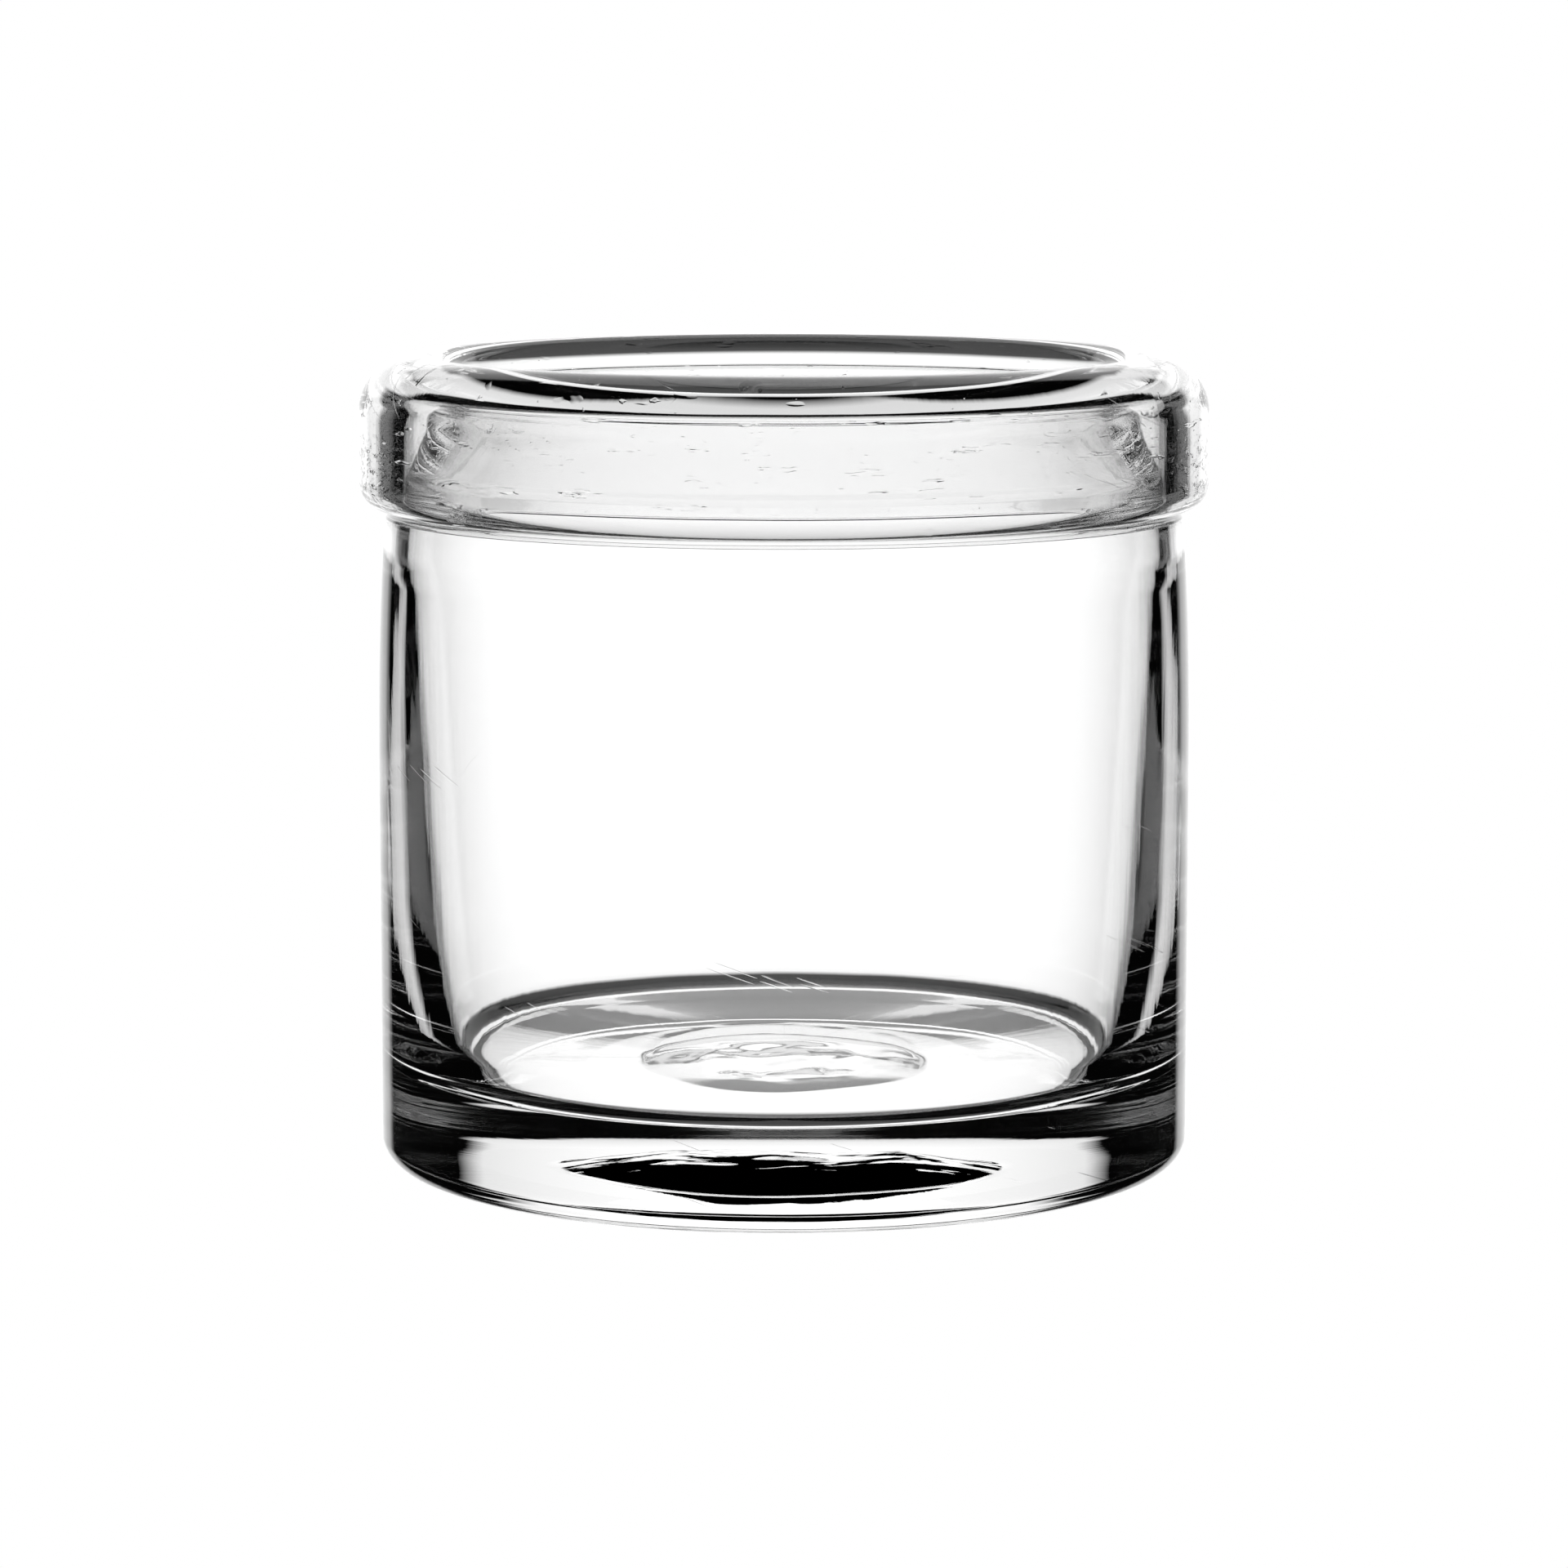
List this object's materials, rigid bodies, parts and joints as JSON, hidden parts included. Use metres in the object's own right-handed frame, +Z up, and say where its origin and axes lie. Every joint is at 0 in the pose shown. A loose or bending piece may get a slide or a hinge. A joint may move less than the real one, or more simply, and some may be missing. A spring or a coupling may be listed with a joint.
{
  "type": "dappen dish",
  "caption": "Small straight-sided clear glass dish with a thick solid base, a wide open mouth and a heavy collar folded over outside the rim.",
  "frame": {"origin": "centre of the base, on the plane the dish rests on", "axes": "+Z up along the dish's axis towards the open mouth; the dish is round, so X and Y have no preferred direction"},
  "size_m": [0.06, 0.06, 0.0573],
  "materials": {
    "clear_glass": "polished clear glass with faint tool marks on the collar"
  },
  "bodies": {
    "root": {"dish": "clear_glass", "collar": "clear_glass"}
  },
  "joints": []
}
